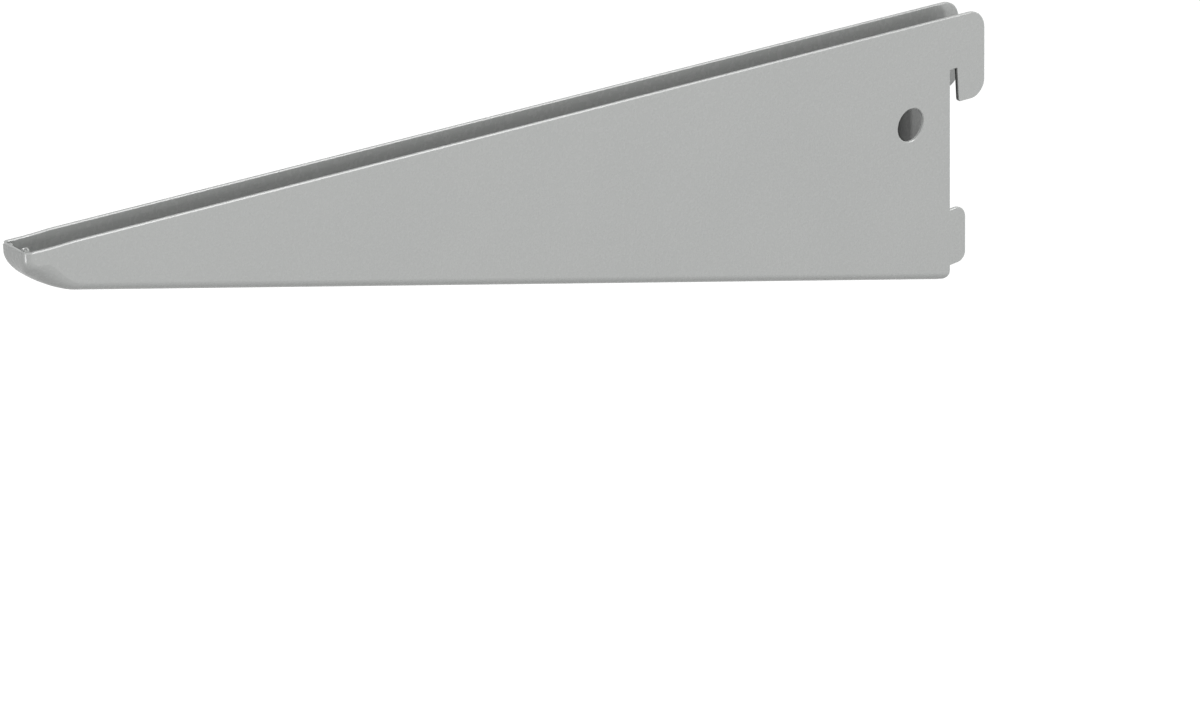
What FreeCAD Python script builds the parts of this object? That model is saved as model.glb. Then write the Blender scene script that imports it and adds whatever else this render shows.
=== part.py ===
import FreeCAD, Part

import math
import os

import Sketcher
from FreeCAD import Placement, Rotation, Vector

# Slotted shelf bracket: one sheet of steel folded into a slim channel that is open along the top.
# X runs from the tip (negative) to the slotted upright (positive), Z is up, Y is across the channel.
# The origin is where the shelf line meets the face of the upright, on the middle plane of the channel.

doc = FreeCAD.newDocument("shelf_bracket")


# Driving dimensions, in millimetres and degrees

SIZES = [
    # the sheet and the channel
    ("sheet_thickness", 0.9),
    ("channel_width", 9.5),
    ("arm_length", 254.2),
    ("rear_depth", 66.3),
    ("front_depth", 8.45),
    ("shelf_rise", 4.25),
    # the bends along the underside and round the drawn nose
    ("bend_radius", 2.0),
    ("nose_bend_radius", 3.8),
    ("lip_bend_radius", 1.8),
    ("nose_sweep_radius", 25.3),
    ("nose_front_radius", 5.7),
    ("lip_height", 2.2),
    # the shallow dip of the rim behind the tip: how far it goes down, where it is lowest, how wide it is
    ("dip_depth", 0.25),
    ("dip_setback", 4.0),
    ("dip_radius", 120.0),
    # the pleats in the nose corners: their thickness, where they stand from the sheet's inner faces,
    # how far they run along the lip and down the corner, and their tops above and under the shelf line
    ("pleat_radius", 0.65),
    ("pleat_end_radius", 0.25),
    ("pleat_reach", 0.45),
    ("pleat_offset", 1.0),
    ("roll_length", 0.9),
    ("root_length", 2.4),
    ("near_pleat_rise", 0.45),
    ("far_pleat_drop", 0.35),
    # the dimple between the near pleat and the lip
    ("dimple_radius", 0.38),
    ("dimple_reach", 0.1),
    ("dimple_offset", 0.55),
    ("dimple_rise", 0.1),
    # the hook that hangs in the upper slot of the upright
    ("hook_projection", 11.05),
    ("hook_height", 21.45),
    ("hook_shoulder_radius", 5.0),
    ("hook_foot_radius", 4.0),
    ("hook_toe_radius", 1.0),
    ("seat_depth", 13.1),
    ("throat_width", 2.0),
    ("throat_flare", 3.5),
    # the tab that sits in the next slot down, its foot measured up from the rear depth
    ("tab_projection", 4.95),
    ("tab_lift", 4.05),
    ("tab_height", 14.2),
    ("tab_top_radius", 3.2),
    ("tab_foot_radius", 2.4),
    # the round hole through both side plates
    ("hole_diameter", 8.0),
    ("hole_setback", 12.6),
    ("hole_drop", 23.1),
    # the lower rear corner, the end of the web in front of it, and the bevel on the sheet's edges
    ("corner_radius", 2.2),
    ("web_setback", 3.0),
    ("edge_bevel", 0.2),
    # how far a lug's outline runs into the arm, and how far a cut runs past what it cuts
    ("lug_root", 3.0),
    ("overrun", 2.0),
]

sheet = doc.addObject("Spreadsheet::Sheet", "Sizes")
for row, (alias, value) in enumerate(SIZES, start=1):
    sheet.set("A%d" % row, alias)
    sheet.set("B%d" % row, str(value))
    sheet.setAlias("B%d" % row, alias)
doc.recompute()


def size(alias):
    return float(sheet.get(alias))


thickness = size("sheet_thickness")
width = size("channel_width")
length = size("arm_length")
over = size("overrun")
rise = size("shelf_rise")
rise_cos = math.cos(math.radians(rise))
rise_sin = math.sin(math.radians(rise))
rise_tan = math.tan(math.radians(rise))

# The underside runs straight from the rear depth to the front depth, both measured from the shelf line
slope_tan = (size("rear_depth") + length * rise_tan - size("front_depth")) / length
slope = math.degrees(math.atan(slope_tan))
slope_cos = math.cos(math.radians(slope))
slope_sin = math.sin(math.radians(slope))
slope_text = ("((Sizes.rear_depth + Sizes.arm_length * tan(Sizes.shelf_rise) - Sizes.front_depth)"
              " / Sizes.arm_length)")


# Helpers for sketches on the middle plane: u runs along X, v runs along Z.
# In a constraint, curve -1 point 1 is the origin and curve -2 is the upright v axis.

def side_sketch(body, name):
    sketch = body.newObject("Sketcher::SketchObject", name)
    plane = [feature for feature in body.Origin.OriginFeatures if feature.Role == "XZ_Plane"][0]
    sketch.AttachmentSupport = [(plane, "")]
    sketch.MapMode = "FlatFace"
    return sketch


def line(start, end):
    return Part.LineSegment(Vector(start[0], start[1], 0), Vector(end[0], end[1], 0))


def arc(centre, radius, start, end):
    circle = Part.Circle(Vector(centre[0], centre[1], 0), Vector(0, 0, 1), radius)
    return Part.ArcOfCircle(circle, math.radians(start), math.radians(end))


def on_arc(centre, radius, angle):
    turned = math.radians(angle)
    return (centre[0] + radius * math.cos(turned), centre[1] + radius * math.sin(turned))


def add_loop(sketch, curves):
    for curve in curves:
        sketch.addGeometry(curve, False)
    for first in range(len(curves)):
        second = (first + 1) % len(curves)
        bent = isinstance(curves[first], Part.ArcOfCircle) or isinstance(curves[second], Part.ArcOfCircle)
        kind = "Tangent" if bent else "Coincident"
        sketch.addConstraint(Sketcher.Constraint(kind, first, 2, second, 1))


def direct(sketch, upright, level):
    for index in upright:
        sketch.addConstraint(Sketcher.Constraint("Vertical", index))
    for index in level:
        sketch.addConstraint(Sketcher.Constraint("Horizontal", index))


def bind(sketch, constraint, expression):
    index = sketch.addConstraint(constraint)
    sketch.setExpression("Constraints[%d]" % index, expression)


def bind_radius(sketch, index, radius, expression):
    bind(sketch, Sketcher.Constraint("Radius", index, radius), expression)


def bind_heading(sketch, index, degrees, expression):
    bind(sketch, Sketcher.Constraint("Angle", index, math.radians(degrees)), expression)


def bind_right(sketch, index, point, value, expression):
    bind(sketch, Sketcher.Constraint("DistanceX", -1, 1, index, point, value), expression)


def bind_left(sketch, index, point, value, expression):
    bind(sketch, Sketcher.Constraint("DistanceX", index, point, -1, 1, value), expression)


def bind_above(sketch, index, point, value, expression):
    bind(sketch, Sketcher.Constraint("DistanceY", -1, 1, index, point, value), expression)


def bind_below(sketch, index, point, value, expression):
    bind(sketch, Sketcher.Constraint("DistanceY", index, point, -1, 1, value), expression)


def pad_across(body, sketch, name, expression):
    doc.recompute()
    pad = body.newObject("PartDesign::Pad", name)
    pad.Profile = sketch
    pad.SideType = "Symmetric"
    pad.setExpression("Length", expression)
    doc.recompute()
    return pad


# The nose from the side: a wide sweep leaves the underside and a tighter front curve carries it up
# to the lip. The inner and the outer faces share both centres.

sweep = size("nose_sweep_radius")
front = size("nose_front_radius")
lip = length * rise_tan - size("lip_height")
front_centre = (front - length, lip)
front_gap = (lip + size("rear_depth")) * slope_cos - (length - front) * slope_sin
nose_turn = math.degrees(math.asin((sweep - front_gap) / (sweep - front))) - slope
sweep_centre = on_arc(front_centre, sweep - front, nose_turn)
underside_end = 270.0 - slope


# The arm from the side, closed above the shelf line. The outer faces use it as it is. The hollow
# uses it drawn smaller by the sheet and open at the rear.

def arm_outline(body, name, hollow):
    inset = thickness if hollow else 0.0
    less = " - Sizes.sheet_thickness" if hollow else ""
    rear = size("hook_projection") + over if hollow else 0.0
    top = 2 * over if hollow else over
    drop = size("rear_depth") - inset / slope_cos
    rear_foot = (rear, -drop - rear * slope_tan)
    rear_top = (rear, top - rear * rise_tan)
    front_top = (inset - length, top + (length - inset) * rise_tan)

    sketch = side_sketch(body, name)
    add_loop(sketch, [
        line(rear_foot, rear_top),
        line(rear_top, front_top),
        line(front_top, (inset - length, lip)),
        arc(front_centre, front - inset, 180.0, 180.0 + nose_turn),
        arc(sweep_centre, sweep - inset, 180.0 + nose_turn, underside_end),
        line(on_arc(sweep_centre, sweep - inset, underside_end), rear_foot),
    ])
    direct(sketch, upright=[0, 2], level=[])
    bind_heading(sketch, 1, 180.0 - rise, "180 - Sizes.shelf_rise")
    bind_heading(sketch, 5, -slope, "-atan" + slope_text)
    bind_left(sketch, 2, 1, length - inset, "Sizes.arm_length" + less)
    bind_above(sketch, 3, 1, lip, "Sizes.arm_length * tan(Sizes.shelf_rise) - Sizes.lip_height")
    bind_radius(sketch, 3, front - inset, "Sizes.nose_front_radius" + less)
    bind_radius(sketch, 4, sweep - inset, "Sizes.nose_sweep_radius" + less)
    if hollow:
        reach = "(Sizes.hook_projection + Sizes.overrun)"
        bind_right(sketch, 0, 1, rear, reach)
        bind_below(sketch, 0, 1, -rear_foot[1],
                   "Sizes.rear_depth - Sizes.sheet_thickness / cos(atan" + slope_text + ")"
                   " + " + reach + " * " + slope_text)
        bind_above(sketch, 1, 1, rear_top[1],
                   "2 * Sizes.overrun - " + reach + " * tan(Sizes.shelf_rise)")
    else:
        sketch.addConstraint(Sketcher.Constraint("PointOnObject", 0, 1, -2))
        bind_below(sketch, 0, 1, drop, "Sizes.rear_depth")
        bind_above(sketch, 1, 1, top, "Sizes.overrun")
    return sketch


# The hook from the side: it leaves the rear edge along the shelf line, turns down, and its toe
# leaves a narrow flared throat against the rear edge.

def hook_outline(body):
    root = size("lug_root")
    projection = size("hook_projection")
    height = size("hook_height")
    shoulder = size("hook_shoulder_radius")
    foot = size("hook_foot_radius")
    toe = size("hook_toe_radius")
    seat = size("seat_depth")
    throat = size("throat_width")
    flare = size("throat_flare")
    flare_cos = math.cos(math.radians(flare))
    flare_sin = math.sin(math.radians(flare))

    reach = toe + throat * flare_cos + (height - seat - toe / rise_cos) * flare_sin
    toe_u = reach / (flare_cos - rise_tan * flare_sin)
    toe_centre = (toe_u, toe / rise_cos - height - toe_u * rise_tan)
    foot_u = projection - foot
    foot_centre = (foot_u, foot / rise_cos - height - foot_u * rise_tan)
    shoulder_u = projection - shoulder
    shoulder_centre = (shoulder_u, -shoulder / rise_cos - shoulder_u * rise_tan)
    root_top = (-root, root * rise_tan)
    root_foot = (-root, -seat)
    down = 270.0 - rise

    sketch = side_sketch(body, "hook_outline")
    add_loop(sketch, [
        line(root_foot, (throat, -seat)),
        line((throat, -seat), on_arc(toe_centre, toe, 180.0 + flare)),
        arc(toe_centre, toe, 180.0 + flare, down),
        line(on_arc(toe_centre, toe, down), on_arc(foot_centre, foot, down)),
        arc(foot_centre, foot, down, 360.0),
        line(on_arc(foot_centre, foot, 0.0), on_arc(shoulder_centre, shoulder, 0.0)),
        arc(shoulder_centre, shoulder, 0.0, 90.0 - rise),
        line(on_arc(shoulder_centre, shoulder, 90.0 - rise), root_top),
        line(root_top, root_foot),
    ])
    direct(sketch, upright=[5, 8], level=[0])
    sketch.addConstraint(Sketcher.Constraint("PointOnObject", -1, 1, 7))
    bind_heading(sketch, 1, flare - 90.0, "Sizes.throat_flare - 90")
    bind_heading(sketch, 3, -rise, "-Sizes.shelf_rise")
    bind_heading(sketch, 7, 180.0 - rise, "180 - Sizes.shelf_rise")
    bind_radius(sketch, 2, toe, "Sizes.hook_toe_radius")
    bind_radius(sketch, 4, foot, "Sizes.hook_foot_radius")
    bind_radius(sketch, 6, shoulder, "Sizes.hook_shoulder_radius")
    bind_left(sketch, 8, 1, root, "Sizes.lug_root")
    bind_right(sketch, 0, 2, throat, "Sizes.throat_width")
    bind_right(sketch, 5, 1, projection, "Sizes.hook_projection")
    bind_below(sketch, 0, 1, seat, "Sizes.seat_depth")
    bind_below(sketch, 4, 3, -foot_centre[1],
               "Sizes.hook_height - Sizes.hook_foot_radius / cos(Sizes.shelf_rise)"
               " + (Sizes.hook_projection - Sizes.hook_foot_radius) * tan(Sizes.shelf_rise)")
    return sketch


# The tab from the side: a shallow lug with a rounded top and foot

def tab_outline(body):
    root = size("lug_root")
    projection = size("tab_projection")
    low = size("rear_depth") - size("tab_lift")
    drop = low - size("tab_height")
    crown = size("tab_top_radius")
    foot = size("tab_foot_radius")

    sketch = side_sketch(body, "tab_outline")
    add_loop(sketch, [
        line((-root, -low), (projection - foot, -low)),
        arc((projection - foot, foot - low), foot, 270.0, 360.0),
        line((projection, foot - low), (projection, -drop - crown)),
        arc((projection - crown, -drop - crown), crown, 0.0, 90.0),
        line((projection - crown, -drop), (-root, -drop)),
        line((-root, -drop), (-root, -low)),
    ])
    direct(sketch, upright=[2, 5], level=[0, 4])
    bind_radius(sketch, 1, foot, "Sizes.tab_foot_radius")
    bind_radius(sketch, 3, crown, "Sizes.tab_top_radius")
    bind_left(sketch, 5, 1, root, "Sizes.lug_root")
    bind_right(sketch, 2, 1, projection, "Sizes.tab_projection")
    bind_below(sketch, 4, 1, drop, "Sizes.rear_depth - Sizes.tab_lift - Sizes.tab_height")
    bind_below(sketch, 0, 1, low, "Sizes.rear_depth - Sizes.tab_lift")
    return sketch


# Outer and inner forms: solid blanks whose difference is the folded sheet

outer_form = doc.addObject("PartDesign::Body", "outer_form")
pad_across(outer_form, arm_outline(outer_form, "arm_outline", hollow=False), "arm_pad",
           "Sizes.channel_width")
pad_across(outer_form, hook_outline(outer_form), "hook_pad", "Sizes.channel_width")
pad_across(outer_form, tab_outline(outer_form), "tab_pad", "Sizes.channel_width")

inner_form = doc.addObject("PartDesign::Body", "inner_form")
pad_across(inner_form, arm_outline(inner_form, "hollow_outline", hollow=True), "hollow_pad",
           "Sizes.channel_width - 2 * Sizes.sheet_thickness")


# The bends: tight along the underside, growing through the sweep and tight again at the front lip

def bend_corners(form, name, inset):
    along = min(size("bend_radius"), width / 2 - thickness)
    widest = min(size("nose_bend_radius"), width / 2 - thickness)
    swell = on_arc(front_centre, front - inset, 180.0 + nose_turn)
    near = thickness / 10

    def radius_at(point):
        if math.hypot(point.x - swell[0], point.z - swell[1]) < near:
            return widest - inset
        if point.x < inset - length + near:
            return size("lip_bend_radius") - inset
        return along - inset

    bends = []
    for index, edge in enumerate(form.Shape.Edges, start=1):
        start = edge.valueAt(edge.FirstParameter)
        end = edge.valueAt(edge.LastParameter)
        lengthwise = abs(start.y - end.y) < near
        on_arm = start.x + end.x < -near
        below_shelf = min(start.z + start.x * rise_tan, end.z + end.x * rise_tan) < 0
        if lengthwise and on_arm and below_shelf:
            bends.append((index, radius_at(start), radius_at(end)))
    fillet = doc.addObject("Part::Fillet", name)
    fillet.Base = form
    fillet.Edges = bends
    doc.recompute()
    return fillet


outer_bends = bend_corners(outer_form, "outer_bends", 0.0)
inner_bends = bend_corners(inner_form, "inner_bends", thickness)

folded_sheet = doc.addObject("Part::Cut", "folded_sheet")
folded_sheet.Base = outer_bends
folded_sheet.Tool = inner_bends


# What is cut out of the folded sheet: all that stands above the rim, which follows the shelf line and
# dips a little behind the tip, the round hole, the end of the web and the lower rear corner of both
# side plates

def cross_cylinder(name, radius, height, start, direction):
    cylinder = doc.addObject("Part::Cylinder", name)
    cylinder.setExpression("Radius", radius)
    cylinder.setExpression("Height", height)
    cylinder.Placement = Placement(start, Rotation(Vector(0, 0, 1), direction))
    return cylinder


def corner_outline(body):
    radius = size("corner_radius")
    start = on_arc(corner_centre, radius, underside_end)
    low = -size("rear_depth") - over

    sketch = side_sketch(body, "corner_outline")
    for curve in [
        line(start, (start[0], low)),
        line((start[0], low), (over, low)),
        line((over, low), (over, corner_centre[1])),
        line((over, corner_centre[1]), (0, corner_centre[1])),
        arc(corner_centre, radius, underside_end, 360.0),
    ]:
        sketch.addGeometry(curve, False)
    for first, second, point in [(0, 1, 1), (1, 2, 1), (2, 3, 1), (3, 4, 2)]:
        sketch.addConstraint(Sketcher.Constraint("Coincident", first, 2, second, point))
    sketch.addConstraint(Sketcher.Constraint("Coincident", 4, 1, 0, 1))
    sketch.addConstraint(Sketcher.Constraint("PointOnObject", 4, 2, -2))
    sketch.addConstraint(Sketcher.Constraint("Horizontal", 4, 3, 4, 2))
    direct(sketch, upright=[0, 2], level=[1, 3])
    bind_radius(sketch, 4, radius, "Sizes.corner_radius")
    bind_left(sketch, 4, 1, -start[0], "Sizes.corner_radius * (1 + sin(atan" + slope_text + "))")
    bind_below(sketch, 4, 3, -corner_centre[1],
               "Sizes.rear_depth - Sizes.corner_radius * " + slope_text +
               " - Sizes.corner_radius / cos(atan" + slope_text + ")")
    bind_right(sketch, 1, 2, over, "Sizes.overrun")
    bind_below(sketch, 1, 1, -low, "Sizes.rear_depth + Sizes.overrun")
    return sketch


rim_block = doc.addObject("Part::Box", "rim_block")
rim_block.setExpression("Length", "(Sizes.arm_length + Sizes.hook_projection + 2 * Sizes.overrun)"
                        " / cos(Sizes.shelf_rise)")
rim_block.setExpression("Width", "Sizes.channel_width + 2 * Sizes.overrun")
rim_block.setExpression("Height", "3 * Sizes.overrun")
rim_block.Placement = Placement(Vector(-length - over, -width / 2 - over, (length + over) * rise_tan),
                                Rotation(Vector(0, 1, 0), rise))

dip_x = size("dip_setback") - length
dip_centre = (dip_x + size("dip_radius") * rise_sin,
              size("dip_radius") * rise_cos - size("dip_depth") / rise_cos - dip_x * rise_tan)
rim_dip = cross_cylinder("rim_dip", "Sizes.dip_radius", "Sizes.channel_width + 2 * Sizes.overrun",
                         Vector(dip_centre[0], -width / 2 - over, dip_centre[1]), Vector(0, 1, 0))

hole_start = Vector(-size("hole_setback"), -width / 2 - over, -size("hole_drop"))
hole_drill = cross_cylinder("hole_drill", "Sizes.hole_diameter / 2",
                            "Sizes.channel_width + 2 * Sizes.overrun", hole_start, Vector(0, 1, 0))

web_end = doc.addObject("Part::Box", "web_end")
web_end.setExpression("Length", "Sizes.web_setback + Sizes.overrun")
web_end.setExpression("Width", "Sizes.channel_width - 2 * Sizes.sheet_thickness")
web_end.setExpression("Height", "Sizes.bend_radius + 2 * Sizes.overrun")
web_end.Placement.Base = Vector(-size("web_setback"), thickness - width / 2, -size("rear_depth") - over)

corner_reach = size("corner_radius") * (slope_tan + 1 / slope_cos)
corner_centre = (-size("corner_radius"), corner_reach - size("rear_depth"))
corner_trim = doc.addObject("PartDesign::Body", "corner_trim")
pad_across(corner_trim, corner_outline(corner_trim), "corner_pad",
           "Sizes.channel_width + 2 * Sizes.overrun")

above_rim = doc.addObject("Part::MultiFuse", "above_rim")
above_rim.Shapes = [rim_block, rim_dip]

trimmed = folded_sheet
for name, tool in [("rim_cut", above_rim), ("hole_cut", hole_drill), ("web_cut", web_end),
                   ("corner_cut", corner_trim)]:
    cut = doc.addObject("Part::Cut", name)
    cut.Base = trimmed
    cut.Tool = tool
    cut.Refine = True
    doc.recompute()
    trimmed = cut


# The sheet's edges, dulled by a fine bevel all along the rim, the hooks, the tabs, the rear edge and
# the hole. The edges straight across the sheet and those of the trimmed corner stay sharp.

def facing(face, point):
    return face.normalAt(*face.Surface.parameter(point))


def is_dulled(shape, edge):
    middle = edge.valueAt((edge.FirstParameter + edge.LastParameter) / 2)
    faces = [face for face in shape.Faces if any(edge.isSame(side) for side in face.Edges)]
    if len(faces) != 2:
        return False
    straight_across = abs(edge.Length - thickness) < thickness / 100
    at_corner = middle.x < 0 and middle.z < corner_centre[1] and middle.x > -size("web_setback") - over
    least_turn = math.radians(30)
    turned = facing(faces[0], middle).getAngle(facing(faces[1], middle))
    return turned > least_turn and not straight_across and not at_corner


dulled = doc.addObject("Part::Chamfer", "dulled_edges")
dulled.Base = trimmed
dulled.Edges = [(index, size("edge_bevel"), size("edge_bevel"))
                for index, edge in enumerate(trimmed.Shape.Edges, start=1)
                if is_dulled(trimmed.Shape, edge)]


# The pleats: the sheet drawn round each nose corner has metal to spare, which stands inside the
# corner as a ball, with a roll that tapers along the lip and a root that tapers down the corner.
# The near pleat stands above the rim and has a dimple beside it, and the far one stays under the rim.

def nose_point(setback, inset, above, side):
    x = setback - length
    return Vector(x, side * (width / 2 - inset), above - x * rise_tan)


def ball(name, radius, centre):
    sphere = doc.addObject("Part::Sphere", name)
    sphere.setExpression("Radius", radius)
    sphere.Placement.Base = centre
    return sphere


def taper(name, start, end, height):
    cone = doc.addObject("Part::Cone", name)
    cone.setExpression("Radius1", "Sizes.pleat_radius")
    cone.setExpression("Radius2", "Sizes.pleat_end_radius")
    cone.setExpression("Height", height)
    cone.Placement = Placement(start, Rotation(Vector(0, 0, 1), end - start))
    return cone


def nose_pleat(name, side, top):
    level = top - size("pleat_radius")
    inset = thickness + size("pleat_offset")
    centre = nose_point(thickness + size("pleat_reach"), inset, level, side)
    roll_end = nose_point(thickness, inset + size("roll_length"), level, side)
    root_end = nose_point(thickness + size("pleat_reach") / 2, thickness, level - size("root_length"), side)
    pleat = doc.addObject("Part::MultiFuse", name)
    pleat.Shapes = [
        ball(name + "_ball", "Sizes.pleat_radius", centre),
        taper(name + "_roll", centre, roll_end, "sqrt(Sizes.pleat_reach ^ 2 + Sizes.roll_length ^ 2)"),
        taper(name + "_root", centre, root_end,
              "sqrt(Sizes.pleat_reach ^ 2 / 4 + Sizes.pleat_offset ^ 2 + Sizes.root_length ^ 2)"),
    ]
    return pleat


pleated = doc.addObject("Part::MultiFuse", "pleated_sheet")
pleated.Shapes = [
    dulled,
    nose_pleat("near_pleat", -1, size("near_pleat_rise")),
    nose_pleat("far_pleat", 1, -size("far_pleat_drop")),
]
pleated.Refine = True

bracket = doc.addObject("Part::Cut", "shelf_bracket")
bracket.Base = pleated
bracket.Tool = ball("near_dimple", "Sizes.dimple_radius",
                    nose_point(thickness + size("dimple_reach"), thickness + size("dimple_offset"),
                               size("dimple_rise"), -1))
bracket.Refine = True


# Checks and the STEP file

doc.recompute()
broken = [item.Name for item in doc.Objects if "Invalid" in item.State or "Error" in item.State]
if broken:
    raise RuntimeError("these features did not build: " + ", ".join(broken))
shape = bracket.Shape
if shape.isNull() or not shape.isValid() or len(shape.Solids) != 1:
    raise RuntimeError("shelf_bracket is not one valid solid")

os.makedirs("parts", exist_ok=True)
shape.exportStep(os.path.join("parts", bracket.Label + ".step"))
print("shelf_bracket: %d faces, %.1f mm3" % (len(shape.Faces), shape.Volume))
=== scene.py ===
import math

import bpy
from mathutils import Matrix, Vector


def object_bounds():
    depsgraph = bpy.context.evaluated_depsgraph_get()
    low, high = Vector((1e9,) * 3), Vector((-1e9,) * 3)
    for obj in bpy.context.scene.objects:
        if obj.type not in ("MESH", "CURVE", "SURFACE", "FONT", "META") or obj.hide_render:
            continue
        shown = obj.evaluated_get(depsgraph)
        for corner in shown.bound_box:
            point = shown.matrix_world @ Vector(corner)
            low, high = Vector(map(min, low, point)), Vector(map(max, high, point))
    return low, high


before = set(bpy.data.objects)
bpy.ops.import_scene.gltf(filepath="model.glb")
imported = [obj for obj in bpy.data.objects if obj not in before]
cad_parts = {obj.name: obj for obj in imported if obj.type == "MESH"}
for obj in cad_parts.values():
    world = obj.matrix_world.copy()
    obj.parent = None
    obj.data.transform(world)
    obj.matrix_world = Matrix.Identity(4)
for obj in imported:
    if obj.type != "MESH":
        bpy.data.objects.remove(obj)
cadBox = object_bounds()
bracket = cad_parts["shelf_bracket"]
print("bracket loaded")


# baked-on grey paint over folded steel, with painted shade on faces that look down, deep in the channel
# and within the hooks; colours are linear, lengths in metres
paint = {
    "pale": (0.415, 0.424, 0.416, 1.0),       # where the coat lies thick
    "deep": (0.392, 0.402, 0.395, 1.0),       # where it is a little thinner
    "cloudSize": 0.030,                       # the slow drift from one tone to the other
    "cloudDetail": 3.0,
    "under": (0.270, 0.277, 0.272, 1.0),      # painted shade on faces that look down, where little light reaches
    "underShadeFrom": -0.35,                       # how far down a face looks before that tone begins
    "underShadeFull": -0.95,                       # and where it has come in fully
    "inside": (0.270, 0.277, 0.272, 1.0),     # painted shade deep in the channel, where little light reaches
    "insideHalf": 0.0039,                     # just over half the clear width of the channel
    "insideFrom": 0.008,                      # how far below the rim that tone begins
    "insideFull": 0.026,
    "insideLevel": -0.20,                     # faces that look further down than this are outside
    "insideAhead": -0.50,                     # and so are faces that look further to the tip
    "rimRise": 0.0743,                        # the rim's rise to the tip, for each metre of length
    "throat": (0.045, 0.046, 0.045, 1.0),     # painted shade on the cut edges within the hooks, where little light reaches
    "throatFrom": 0.0005,                     # how far behind the face of the upright that tone begins
    "throatSide": -0.30,                      # how far to the tip an edge looks before it turns dark
    "throatFull": -0.80,
    "peelSize": 0.0011,                       # the orange peel of a sprayed coat
    "peelHeight": 0.000008,
    "peelDetail": 1.0,
    "grainSize": 0.00022,                     # the fine tooth that makes it satin
    "grainHeight": 0.0000025,
    "grainDetail": 2.0,
    "smoothest": 0.23,
    "roughest": 0.31,
}


def noiseAt(tree, coords, size, detail):
    noise = tree.nodes.new("ShaderNodeTexNoise")
    noise.inputs["Scale"].default_value = 1.0 / size
    noise.inputs["Detail"].default_value = detail
    tree.links.new(coords.outputs["Object"], noise.inputs["Vector"])
    return noise


def bumpFrom(tree, height, distance, below=None):
    bump = tree.nodes.new("ShaderNodeBump")
    bump.inputs["Strength"].default_value = 1.0
    bump.inputs["Distance"].default_value = distance
    tree.links.new(height.outputs["Fac"], bump.inputs["Height"])
    if below:
        tree.links.new(below.outputs["Normal"], bump.inputs["Normal"])
    return bump


# 1 where a value is past the edge, 0 elsewhere
def passes(tree, socket, edge, operation="GREATER_THAN"):
    test = tree.nodes.new("ShaderNodeMath")
    test.operation = operation
    test.inputs[1].default_value = edge
    tree.links.new(socket, test.inputs[0])
    return test.outputs["Value"]


# several shares multiplied, so that each has to be there
def allOf(tree, *sockets):
    total = sockets[0]
    for socket in sockets[1:]:
        times = tree.nodes.new("ShaderNodeMath")
        times.operation = "MULTIPLY"
        tree.links.new(total, times.inputs[0])
        tree.links.new(socket, times.inputs[1])
        total = times.outputs["Value"]
    return total


# 0 before the start, 1 from where it is full
def ramp(tree, socket, start, full):
    rise = tree.nodes.new("ShaderNodeMapRange")
    rise.inputs["From Min"].default_value = start
    rise.inputs["From Max"].default_value = full
    tree.links.new(socket, rise.inputs["Value"])
    return rise.outputs["Result"]


# lays a colour over the one beneath by a share; each use here lays painted shade
def shadeOver(tree, under, share, colour):
    coat = tree.nodes.new("ShaderNodeMix")
    coat.data_type = "RGBA"
    coat.inputs[7].default_value = colour
    tree.links.new(share, coat.inputs["Factor"])
    tree.links.new(under, coat.inputs[6])
    return coat.outputs[2]


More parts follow.
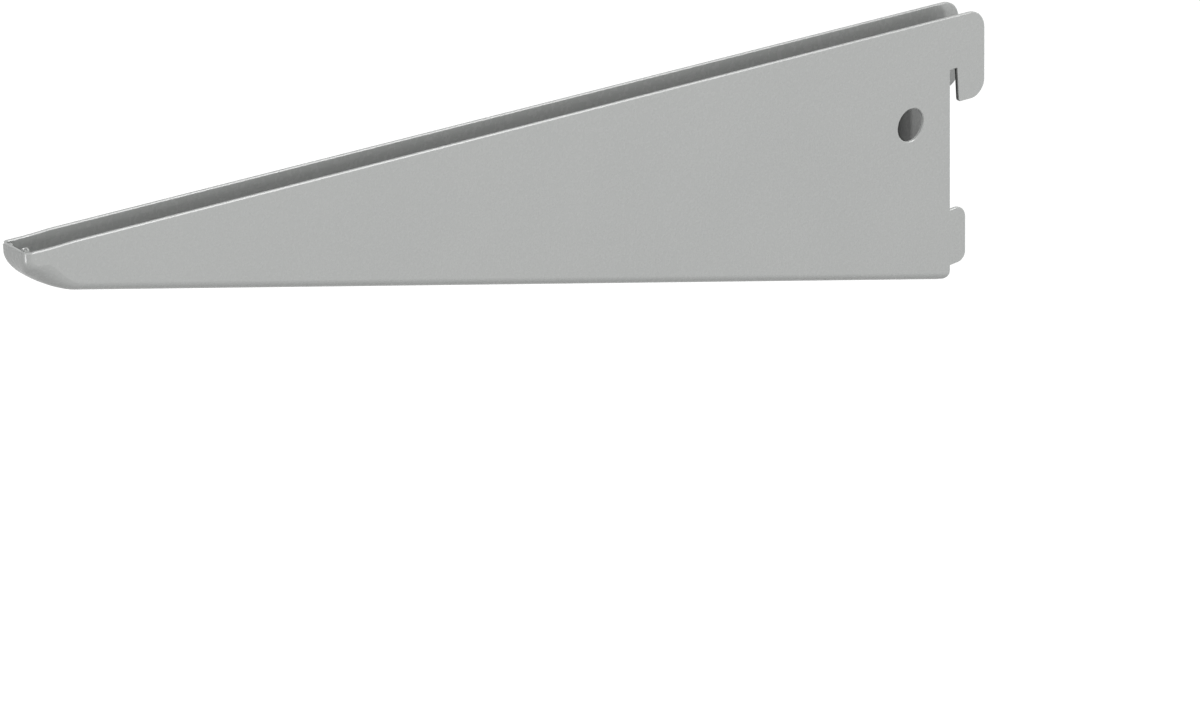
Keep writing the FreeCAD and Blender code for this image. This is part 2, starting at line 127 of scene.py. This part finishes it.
def makePaint():
    material = bpy.data.materials.new("greyPaint")
    material.use_nodes = True
    tree = material.node_tree
    shader = tree.nodes["Principled BSDF"]
    coords = tree.nodes.new("ShaderNodeTexCoord")

    clouds = noiseAt(tree, coords, paint["cloudSize"], paint["cloudDetail"])
    tone = tree.nodes.new("ShaderNodeMix")
    tone.data_type = "RGBA"
    tone.inputs[6].default_value = paint["deep"]
    tone.inputs[7].default_value = paint["pale"]
    tree.links.new(clouds.outputs["Fac"], tone.inputs["Factor"])

    facing = tree.nodes.new("ShaderNodeNewGeometry")
    way = tree.nodes.new("ShaderNodeSeparateXYZ")
    place = tree.nodes.new("ShaderNodeSeparateXYZ")
    depth = tree.nodes.new("ShaderNodeVectorMath")     # how far below the rim
    depth.operation = "DOT_PRODUCT"
    depth.inputs[1].default_value = (-paint["rimRise"], 0.0, -1.0)
    across = tree.nodes.new("ShaderNodeMath")          # how far from the middle of the channel
    across.operation = "ABSOLUTE"
    tree.links.new(facing.outputs["Normal"], way.inputs["Vector"])
    tree.links.new(coords.outputs["Object"], place.inputs["Vector"])
    tree.links.new(coords.outputs["Object"], depth.inputs[0])
    tree.links.new(place.outputs["Y"], across.inputs[0])

    # painted shade: faces that look down take the darker tone, where little light reaches
    downShadeShare = ramp(tree, way.outputs["Z"], paint["underShadeFrom"], paint["underShadeFull"])
    # painted shade deep in the channel, below the rim and between its two walls
    channelShadeShare = allOf(tree, ramp(tree, depth.outputs["Value"], paint["insideFrom"], paint["insideFull"]),
                      passes(tree, across.outputs["Value"], paint["insideHalf"], "LESS_THAN"),
                      passes(tree, way.outputs["Z"], paint["insideLevel"]),
                      passes(tree, way.outputs["X"], paint["insideAhead"]))
    # painted shade on the cut edges within the hooks that face the tip across the narrow gap
    hookShadeShare = allOf(tree, ramp(tree, way.outputs["X"], paint["throatSide"], paint["throatFull"]),
                   passes(tree, place.outputs["X"], paint["throatFrom"]))
    # the painted shades, laid one after another over the paint's own drifting tone
    coat = shadeOver(tree, tone.outputs[2], downShadeShare, paint["under"])
    coat = shadeOver(tree, coat, channelShadeShare, paint["inside"])
    coat = shadeOver(tree, coat, hookShadeShare, paint["throat"])
    tree.links.new(coat, shader.inputs["Base Color"])

    peel = noiseAt(tree, coords, paint["peelSize"], paint["peelDetail"])
    grain = noiseAt(tree, coords, paint["grainSize"], paint["grainDetail"])
    sheen = tree.nodes.new("ShaderNodeMapRange")
    sheen.inputs["To Min"].default_value = paint["smoothest"]
    sheen.inputs["To Max"].default_value = paint["roughest"]
    tree.links.new(peel.outputs["Fac"], sheen.inputs["Value"])
    tree.links.new(sheen.outputs["Result"], shader.inputs["Roughness"])

    waves = bumpFrom(tree, peel, paint["peelHeight"])
    tooth = bumpFrom(tree, grain, paint["grainHeight"], waves)
    tree.links.new(tooth.outputs["Normal"], shader.inputs["Normal"])
    return material


bracket.data.materials.clear()
bracket.data.materials.append(makePaint())
print("paint on")


# the room: a pale floor far below, a soft sky and lamps all round; each lamp's place is measured
# from the aim, and its level is the share of full light that it gives a sheet facing it
studio = {
    "aim": (-0.12, 0.0, -0.02),
    "floorDrop": 0.60,                        # from the bracket's lowest point down to the floor
    "floorSide": 8.0,
    "floorColour": (0.15, 0.15, 0.15, 1.0),
    "floorLift": 0.96,                        # brings the floor up to white where the camera looks
    "skyStrength": 0.20,
    "lamps": {
        "keyLamp": {"towards": (0.56, -0.41, 0.70), "away": 2.0, "side": 0.70, "level": 0.50},
        "frontLamp": {"towards": (0.05, -1.00, 0.08), "away": 2.4, "side": 0.90, "level": 0.20},
        "leftLamp": {"towards": (-0.82, -0.56, 0.20), "away": 1.6, "side": 0.25, "level": 0.13},
        "sideLamp": {"towards": (0.52, -0.84, -0.10), "away": 2.0, "side": 0.20, "level": 0.26},
        "topLamp": {"towards": (-0.55, -0.25, 0.80), "away": 1.6, "side": 0.60, "level": 0.28},
        "tipLamp": {"towards": (-0.92, -0.20, -0.26), "away": 0.71, "side": 0.10, "level": 0.21},
        "rearLamp": {"towards": (0.00, 0.99, 0.08), "away": 2.4, "side": 0.90, "level": 0.72},
    },
}


def isSeen(tree):
    # 1 for what the camera sees directly or in a gloss or through glass, 0 for light on other things
    path = tree.nodes.new("ShaderNodeLightPath")
    total = path.outputs["Is Camera Ray"]
    for name in ("Is Glossy Ray", "Is Transmission Ray"):
        add = tree.nodes.new("ShaderNodeMath")
        add.operation = "ADD"
        add.use_clamp = True
        tree.links.new(total, add.inputs[0])
        tree.links.new(path.outputs[name], add.inputs[1])
        total = add.outputs["Value"]
    return total


def makeFloor():
    low = cadBox[0]
    bpy.ops.object.select_all(action="DESELECT")
    bpy.ops.mesh.primitive_plane_add(size=studio["floorSide"],
                                     location=(0.0, 0.0, low[2] - studio["floorDrop"]))
    floor = bpy.context.active_object
    floor.name = "floor"
    material = bpy.data.materials.new("paleFloor")
    material.use_nodes = True
    tree = material.node_tree
    tree.nodes.clear()
    matt = tree.nodes.new("ShaderNodeBsdfDiffuse")
    matt.inputs["Color"].default_value = studio["floorColour"]
    glow = tree.nodes.new("ShaderNodeEmission")
    lift = tree.nodes.new("ShaderNodeMath")
    lift.operation = "MULTIPLY"
    lift.inputs[1].default_value = studio["floorLift"]
    both = tree.nodes.new("ShaderNodeAddShader")
    out = tree.nodes.new("ShaderNodeOutputMaterial")
    tree.links.new(isSeen(tree), lift.inputs[0])
    tree.links.new(lift.outputs["Value"], glow.inputs["Strength"])
    tree.links.new(matt.outputs["BSDF"], both.inputs[0])
    tree.links.new(glow.outputs["Emission"], both.inputs[1])
    tree.links.new(both.outputs["Shader"], out.inputs["Surface"])
    floor.data.materials.append(material)


def makeSky():
    world = bpy.data.worlds.new("softSky")
    bpy.context.scene.world = world
    world.use_nodes = True
    tree = world.node_tree
    sky = tree.nodes["Background"]
    sky.inputs["Color"].default_value = (1.0, 1.0, 1.0, 1.0)
    strength = tree.nodes.new("ShaderNodeMapRange")
    strength.inputs["To Min"].default_value = studio["skyStrength"]
    strength.inputs["To Max"].default_value = 1.0
    tree.links.new(isSeen(tree), strength.inputs["Value"])
    tree.links.new(strength.outputs["Result"], sky.inputs["Strength"])


def makeLamp(name, lamp):
    towards = Vector(lamp["towards"]).normalized()
    light = bpy.data.objects.new(name, bpy.data.lights.new(name, "AREA"))
    bpy.context.scene.collection.objects.link(light)
    light.data.shape = "SQUARE"
    light.data.size = lamp["side"]
    light.data.energy = lamp["level"] * (math.pi * lamp["away"]) ** 2
    light.location = Vector(studio["aim"]) + towards * lamp["away"]
    light.rotation_euler = towards.to_track_quat("Z", "Y").to_euler()


makeFloor()
makeSky()
for lampName, lamp in studio["lamps"].items():
    makeLamp(lampName, lamp)
print("studio lit")


# the camera, worked out from the photograph: angles in degrees, places in metres
shot = {
    "azimuth": -39.47,
    "elevation": 24.96,
    "roll": -1.87,
    "focalPixels": 5000.0,
    "imageWidth": 1200.0,
    "sensorWidth": 36.0,                               # in millimetres
    "clipStart": 0.05,
    "clipEnd": 20.0,
    "nearRearCorner": (0.0, -0.00475, 0.0),            # the corner that the view is hung on
    "cornerInView": (0.080425, 0.077787, -1.14724),    # the same corner, right, up and back of the camera
}


def makeCamera():
    azimuth, elevation, roll = (math.radians(shot[k]) for k in ("azimuth", "elevation", "roll"))
    back = Vector((math.sin(azimuth) * math.cos(elevation), -math.cos(azimuth) * math.cos(elevation),
                   math.sin(elevation)))
    levelRight = Vector((math.cos(azimuth), math.sin(azimuth), 0.0))
    levelUp = back.cross(levelRight)
    right = levelRight * math.cos(roll) + levelUp * math.sin(roll)
    up = levelUp * math.cos(roll) - levelRight * math.sin(roll)
    turn = Matrix((right, up, back)).transposed()
    camera = bpy.data.objects.new("camera", bpy.data.cameras.new("camera"))
    bpy.context.scene.collection.objects.link(camera)
    camera.data.sensor_width = shot["sensorWidth"]
    camera.data.lens = shot["focalPixels"] / shot["imageWidth"] * shot["sensorWidth"]
    camera.data.clip_start = shot["clipStart"]
    camera.data.clip_end = shot["clipEnd"]
    place = Vector(shot["nearRearCorner"]) - turn @ Vector(shot["cornerInView"])
    camera.matrix_world = Matrix.Translation(place) @ turn.to_4x4()
    bpy.context.scene.camera = camera


makeCamera()
bpy.context.scene.view_settings.view_transform = "Standard"
print("camera set")
